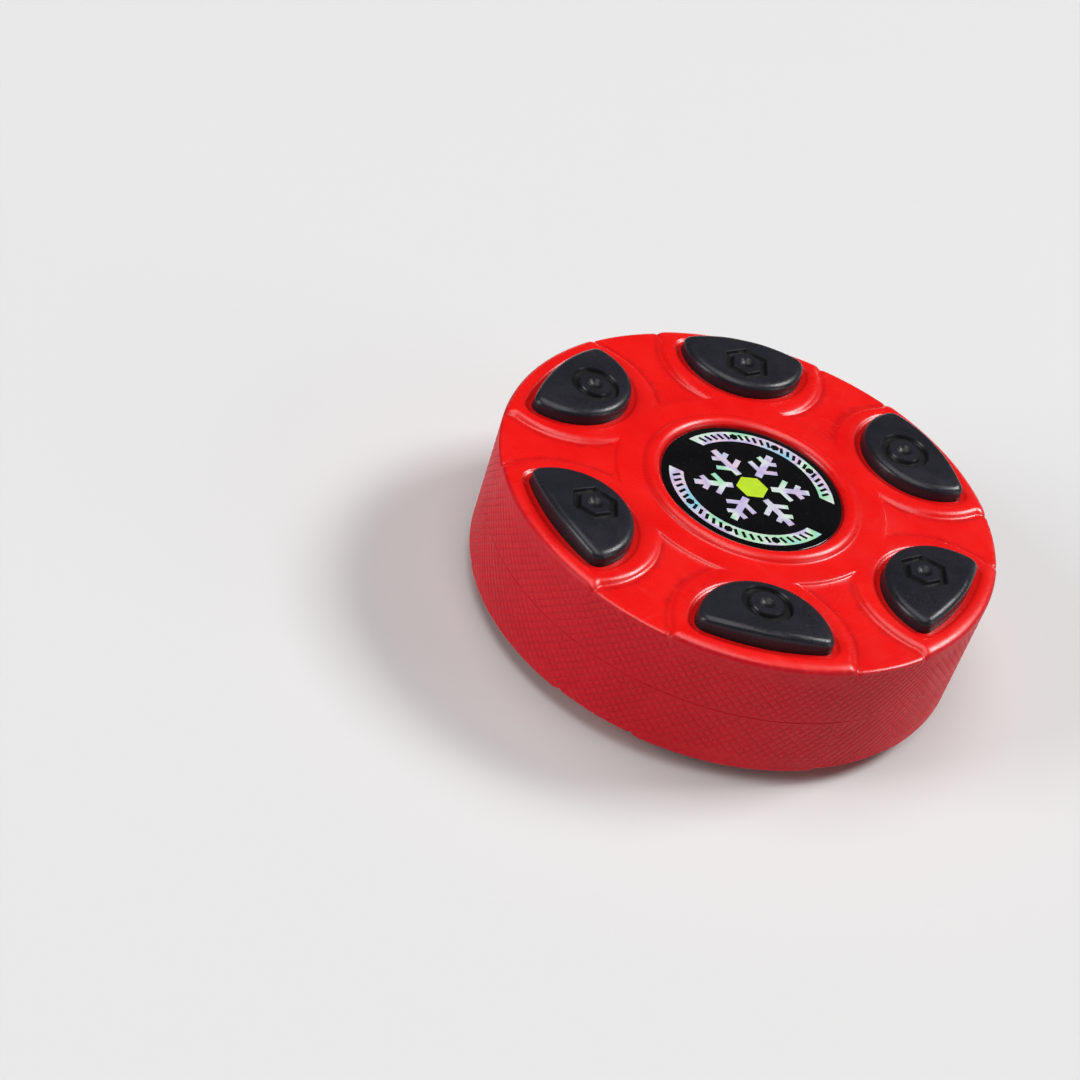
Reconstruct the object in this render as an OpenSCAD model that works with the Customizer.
// Street hockey puck: a hollow shell in two like halves, six glides on each face, a round label in
// the hub of each face, and a steel weight ring held between soft dampers inside.
// The upper half is drawn with its parting plane at z = 0 and its face upwards. The lower half is the
// same moulding turned over about X. The finished puck stands on its lower glides at z = 0.

/* [Puck] */
// Diameter over the knurled side wall
puck_d = 76.2; // [72:0.1:95]
// Height over the glides of both faces
puck_h = 25.4; // [21:0.1:32]

/* [Face] */
// Height of a glide's crown above its boss
glide_proud = 2.4; // [1.8:0.1:3.2]
// Drop from the boss tops to the valley floor at the rim
valley_drop = 2.1; // [1:0.05:2.5]
// Height of the step where the valley floor meets the hub disc
hub_step = 0.3; // [0.2:0.05:0.6]
// Width of the hub disc from its edge to the label recess
hub_band = 6.55; // [5:0.05:8]
// Width of the boss left between the hub disc and a glide
hub_gap = 2; // [1:0.05:2.5]
// Distance from the label recess out to the middle of the raised ring
ring_set = 1.25; // [1:0.05:1.4]
// Height of the raised ring above the hub disc
ring_h = 0.8; // [0.4:0.05:1.2]
// Radius of the rounded section of the raised ring
ring_round = 1.45; // [1.2:0.05:1.8]

/* [Glides] */
// Width of the land between the rim and a glide
rim_land = 3.3; // [3:0.1:5]
// Radial length of a glide
glide_len = 12.1; // [10:0.1:13]
// Radius of a glide's round inner end, half its width
glide_r = 9.9; // [7:0.1:10.2]
// Radius of the crown on top of a glide
crown_r = 57; // [45:1:90]
// Radius of the small flat that the crown is worn to
crown_flat = 3.2; // [2:0.1:4]
// Distance from a glide's outer edge to the middle of its crown
crown_inset = 2.9; // [2:0.1:4]
// Distance from a glide's outer edge to the middle of its mark
mark_inset = 6.6; // [5:0.1:7.5]
// Outer radius of the mark sunk into a glide
mark_r = 3.7; // [2.5:0.1:4]
// Width of the mark's groove
mark_w = 1.2; // [0.8:0.1:1.5]
// Radius of the dot in the middle of the mark
mark_dot_r = 1.2; // [0.8:0.1:1.4]
// Depth of the mark
mark_deep = 0.6; // [0.3:0.1:1]
// Radius of a glide's pegs
peg_r = 1.5; // [1:0.1:2]
// How far out from the middle of a glide's length its pegs stand
peg_out = 1; // [0:0.1:2]
// Half the distance between a glide's two pegs
peg_half = 5; // [4:0.1:6]
// Radius of the head that is staked onto a peg
peg_head_r = 2.3; // [2:0.1:3]
// Thickness of the staked head
peg_head_h = 1.2; // [0.8:0.1:1.6]

/* [Boss under a glide] */
// Extra radius of the boss around the glide's round end
boss_margin = 3.3; // [2:0.1:4]
// Distance from the middle of the glide's round end in to that of the boss
boss_set = 0.6; // [0:0.1:2]
// Width of the seat around the glide's foot
seat_margin = 0.9; // [0.3:0.1:1.5]
// Depth of the seat
seat_deep = 0.35; // [0.2:0.05:0.6]

/* [Shell] */
// Thickness of the side wall
wall = 3.6; // [3:0.1:5]
// Thickness of the deck under the hub disc
deck = 3.7; // [3.2:0.1:4.5]
// Thickness of the hub column's tube
column_wall = 1.7; // [1.2:0.1:2.5]
// Outer radius of the hub column
column_r = 12.7; // [11.5:0.1:13.5]
// Thickness of the radial ribs
rib_w = 1.8; // [1.2:0.1:3]
// Depth of the parting line cut into the side wall
seam_deep = 0.6; // [0.3:0.1:0.8]
// Height of the parting line on each half
seam_h = 0.15; // [0.1:0.05:0.3]
// Thickness of the locating tongue
tongue_w = 1; // [0.8:0.1:1.2]
// Height of the locating tongue
tongue_h = 1.2; // [0.8:0.1:2]

/* [Label] */
// Thickness of the label
label_t = 0.35; // [0.2:0.05:0.5]

/* [Weight] */
// Outer radius of the steel ring
weight_r = 25; // [20:0.1:26]
// Thickness of the steel ring
weight_t = 8; // [5:0.1:9]

/* [Screws] */
// Radius of a screw's shank
screw_r = 1.45; // [1.2:0.05:1.6]
// Radius of a screw's head
screw_head_r = 2.75; // [2.4:0.05:3]
// Height of a screw's head
screw_head_h = 2.1; // [1.8:0.1:2.4]
// Length of shank that bites into the far half
screw_bite = 6; // [4:0.1:6.5]
// Radius of the circle that the screws stand on
screw_circle = 8.9; // [7.6:0.1:9.4]
// Radius of the post around each screw
screw_post_r = 3.1; // [2.8:0.1:3.3]

/* [Fits] */
// Gap around a peg or a screw in its clearance hole
hole_gap = 0.12; // [0.08:0.01:0.2]
// Gap around the label in its recess
label_gap = 0.25; // [0.1:0.05:0.4]
// Gap around the locating tongue in its groove
tongue_gap = 0.15; // [0.1:0.01:0.25]
// Gap between the weight ring or a damper and what centres it
ring_gap = 0.3; // [0.2:0.05:0.5]
// Gap over a screw's head, below the label
head_gap = 0.3; // [0.2:0.05:0.5]
// Gap around a screw in the hole that it cuts its thread in
thread_gap = 0.05; // [0.03:0.01:0.08]

/* [Hidden] */
$fn = 96;
mid_fn = 48;
small_fn = 32;
crown_fn = 192;
hexagon = 6;

// A cut runs past the face that it opens by this much, and a rib reaches this far into what it joins.
over = 1;
bury = 0.5;

glide_count = 6;
glide_step = 360 / glide_count;
first_glide = glide_step / 2;

puck_r = puck_d / 2;
half_h = puck_h / 2;

// Levels above the parting plane.
boss_z = half_h - glide_proud;
hub_z = boss_z;
seat_z = boss_z - seat_deep;
rim_z = boss_z - valley_drop;
valley_top_z = hub_z - hub_step;
recess_z = hub_z - label_t;
deck_z = hub_z - deck;
damper_z = weight_t / 2;

// Radii of the face, worked in from the rim.
glide_out = puck_r - rim_land;
glide_in = glide_out - glide_len;
glide_mid = glide_in + glide_r;
hub_r = glide_in - hub_gap;
recess_r = hub_r - hub_band;
label_r = recess_r - label_gap;
ring_mid = recess_r + ring_set;
boss_mid = glide_mid - boss_set;
boss_r = glide_r + boss_margin;
cavity_r = puck_r - wall;

// Places of a glide's pegs, crown and mark along its length.
peg_mid = glide_out - glide_len / 2 + peg_out;
peg_hole_r = peg_r + hole_gap;
crown_mid = glide_out - crown_inset;
crown_drop = crown_r - sqrt(crown_r * crown_r - crown_flat * crown_flat);
mark_mid = glide_out - mark_inset;

// Screws: the head sits in a counterbore under the label.
head_floor_z = recess_z - head_gap - screw_head_h;
counterbore_r = screw_head_r + ring_gap;
screw_hole_r = screw_r + hole_gap;
pilot_r = screw_r + thread_gap;
pilot_deep = screw_bite + over / 2;
tip_h = 1.5 * screw_r;
tip_r = 0.25;
slot_w = 0.9;
slot_deep = 1.1;
slot_len = 1.5 * screw_head_r;

tongue_in = cavity_r + (wall - tongue_w) / 2 - seam_deep / 2;
tongue_margin = 2;

red = [0.84, 0.07, 0.06];
black = [0.09, 0.09, 0.11];
ink = [0.02, 0.02, 0.02];
steel = [0.62, 0.63, 0.65];
soft_grey = [0.25, 0.26, 0.27];
zinc = [0.78, 0.78, 0.74];

// ---- placing ----

// Lifts a half drawn on the parting plane to its place in the puck.
module upper() {
    translate([0, 0, half_h]) children();
}

// The lower half is the upper one turned over.
module lower() {
    translate([0, 0, half_h]) rotate([180, 0, 0]) children();
}

// Turns what is drawn along +X to glide number n, counted from 1.
module at_glide(n) {
    rotate([0, 0, first_glide + (n - 1) * glide_step]) children();
}

// Stands a copy at every second screw place, from the first (0) or the second (1).
module at_screws(start) {
    for (k = [start : 2 : glide_count - 1])
        rotate([0, 0, first_glide + k * glide_step])
            translate([screw_circle, 0, 0]) children();
}

// ---- shell half ----

// D-shaped upright block: a round inner end, cut off outside by an arc about the puck's axis.
module d_block(mid, r, out_r, low_z, high_z) {
    intersection() {
        translate([mid, 0, low_z]) cylinder(r = r, h = high_z - low_z);
        translate([0, 0, low_z - over]) cylinder(r = out_r, h = high_z - low_z + 2 * over);
    }
}

// Full disc with a flat face, the raised ring on the hub and the label recess.
module faced_disc() {
    difference() {
        union() {
            cylinder(r = puck_r, h = boss_z);
            rotate_extrude()
                translate([ring_mid, hub_z + ring_h - ring_round])
                    circle(r = ring_round, $fn = mid_fn);
        }
        translate([0, 0, recess_z]) cylinder(r = recess_r, h = ring_h + label_t + over);
    }
}

// What is cut away between the bosses, down to a floor that falls from the hub to the rim.
module valleys() {
    floor_fall = valley_top_z - rim_z;
    floor_run = puck_r - hub_r;
    difference() {
        rotate_extrude()
            polygon([
                [hub_r, valley_top_z],
                [puck_r + over, rim_z - floor_fall * over / floor_run],
                [puck_r + over, boss_z + over],
                [hub_r, boss_z + over]
            ]);
        for (n = [1 : glide_count])
            at_glide(n) translate([boss_mid, 0, 0]) cylinder(r = boss_r, h = puck_h);
    }
}

// Open room inside: between the hub column and the side wall, and inside the column's tube.
module cavity() {
    difference() {
        translate([0, 0, -over]) cylinder(r = cavity_r, h = deck_z + over);
        difference() {
            translate([0, 0, -2 * over]) cylinder(r = column_r, h = deck_z + 3 * over);
            translate([0, 0, -3 * over]) cylinder(r = column_r - column_wall, h = deck_z + 5 * over);
        }
    }
}

// Ribs in the valleys stiffen the deck and stop short of the weight ring.
module ribs() {
    rib_in = weight_r + ring_gap;
    for (k = [0 : glide_count - 1])
        rotate([0, 0, k * glide_step])
            translate([rib_in, -rib_w / 2, 0])
                cube([cavity_r + bury - rib_in, rib_w, deck_z + bury]);
}

// Posts that the screws pass through or bite into.
module screw_posts() {
    for (start = [0, 1])
        at_screws(start) cylinder(r = screw_post_r, h = deck_z + bury);
}

// Seats and peg holes of the glides.
module glide_seats() {
    for (n = [1 : glide_count])
        at_glide(n) {
            d_block(glide_mid, glide_r + seat_margin, glide_out + seat_margin, seat_z, boss_z + over);
            for (side = [-1, 1])
                translate([peg_mid, side * peg_half, deck_z - over])
                    cylinder(r = peg_hole_r, h = deck + over, $fn = small_fn);
        }
}

// Every second screw place has a counterbored hole, and the others have a hole for the thread.
module screw_holes() {
    at_screws(0) {
        translate([0, 0, head_floor_z])
            cylinder(r = counterbore_r, h = recess_z - head_floor_z + over / 2, $fn = mid_fn);
        translate([0, 0, -over])
            cylinder(r = screw_hole_r, h = head_floor_z + 2 * over, $fn = small_fn);
    }
    at_screws(1)
        translate([0, 0, -over]) cylinder(r = pilot_r, h = pilot_deep + over, $fn = small_fn);
}

// Shadow line at the parting plane and the groove for the other half's tongue.
module parting_cuts() {
    difference() {
        translate([0, 0, -over]) cylinder(r = puck_r + over, h = seam_h + over);
        translate([0, 0, -2 * over]) cylinder(r = puck_r - seam_deep, h = seam_h + 4 * over);
    }
    rotate([0, 0, 180])
        rotate_extrude(angle = 180)
            translate([tongue_in - tongue_gap, -over])
                square([tongue_w + 2 * tongue_gap, tongue_h + tongue_gap + over]);
}

// Half a ring that keys into the other half's groove.
module tongue() {
    rotate([0, 0, tongue_margin])
        rotate_extrude(angle = 180 - 2 * tongue_margin)
            translate([tongue_in, -tongue_h]) square([tongue_w, tongue_h + bury]);
}

module shell_half() {
    color(red) union() {
        difference() {
            union() {
                difference() {
                    faced_disc();
                    valleys();
                    cavity();
                }
                ribs();
                screw_posts();
            }
            glide_seats();
            screw_holes();
            parting_cuts();
        }
        tongue();
    }
}

// ---- glide ----

// Groove of the mark: a ring, or a hexagon with six sides.
module mark_groove(sides) {
    difference() {
        cylinder(r = mark_r, h = puck_h, $fn = sides);
        translate([0, 0, -over]) cylinder(r = mark_r - mark_w, h = puck_h + 2 * over, $fn = sides);
    }
}

// One glide along +X: a D-shaped pad with a crowned top and two pegs that are staked inside.
module glide(n) {
    mark_floor = half_h - mark_deep;
    sides = n % 2 == 0 ? hexagon : mid_fn;
    color(black) union() {
        difference() {
            intersection() {
                d_block(glide_mid, glide_r, glide_out, seat_z, half_h);
                translate([crown_mid, 0, half_h + crown_drop - crown_r])
                    sphere(r = crown_r, $fn = crown_fn);
            }
            translate([mark_mid, 0, mark_floor]) {
                mark_groove(sides);
                cylinder(r = mark_dot_r, h = puck_h, $fn = small_fn);
            }
        }
        for (side = [-1, 1])
            translate([peg_mid, side * peg_half, 0]) {
                translate([0, 0, deck_z - bury])
                    cylinder(r = peg_r, h = seat_z - deck_z + 2 * bury, $fn = small_fn);
                translate([0, 0, deck_z - peg_head_h])
                    cylinder(r = peg_head_r, h = peg_head_h, $fn = small_fn);
            }
    }
}

// ---- label, weight, dampers, screws ----

module label() {
    color(ink) translate([0, 0, recess_z]) cylinder(r = label_r, h = label_t);
}

// Flat ring that slides over the hub column.
module column_ring(low_z, high_z) {
    difference() {
        translate([0, 0, low_z]) cylinder(r = weight_r, h = high_z - low_z);
        translate([0, 0, low_z - over]) cylinder(r = column_r + ring_gap, h = high_z - low_z + 2 * over);
    }
}

module weight_ring() {
    color(steel) upper() column_ring(-weight_t / 2, weight_t / 2);
}

module damper() {
    color(soft_grey) column_ring(damper_z, deck_z);
}

// Self-tapping screw with a cross slot, head up, its seat at z = 0.
module screw(length) {
    difference() {
        union() {
            cylinder(r = screw_head_r, h = screw_head_h, $fn = mid_fn);
            translate([0, 0, tip_h - length])
                cylinder(r = screw_r, h = length - tip_h + bury, $fn = small_fn);
            translate([0, 0, -length])
                cylinder(r1 = tip_r, r2 = screw_r, h = tip_h, $fn = small_fn);
        }
        for (turn = [0, 90])
            rotate([0, 0, turn])
                translate([-slot_len / 2, -slot_w / 2, screw_head_h - slot_deep])
                    cube([slot_len, slot_w, slot_deep + over]);
    }
}

module screws() {
    color(zinc) at_screws(0)
        translate([0, 0, head_floor_z]) screw(head_floor_z + screw_bite);
}

upper() shell_half();  // upper_shell
lower() shell_half();  // lower_shell
upper() at_glide(1) glide(1);  // upper_glide_1
upper() at_glide(2) glide(2);  // upper_glide_2
upper() at_glide(3) glide(3);  // upper_glide_3
upper() at_glide(4) glide(4);  // upper_glide_4
upper() at_glide(5) glide(5);  // upper_glide_5
upper() at_glide(6) glide(6);  // upper_glide_6
lower() at_glide(1) glide(1);  // lower_glide_1
lower() at_glide(2) glide(2);  // lower_glide_2
lower() at_glide(3) glide(3);  // lower_glide_3
lower() at_glide(4) glide(4);  // lower_glide_4
lower() at_glide(5) glide(5);  // lower_glide_5
lower() at_glide(6) glide(6);  // lower_glide_6
upper() label();  // upper_label
lower() label();  // lower_label
weight_ring();
upper() damper();  // upper_damper
lower() damper();  // lower_damper
upper() screws();  // upper_screws
lower() screws();  // lower_screws
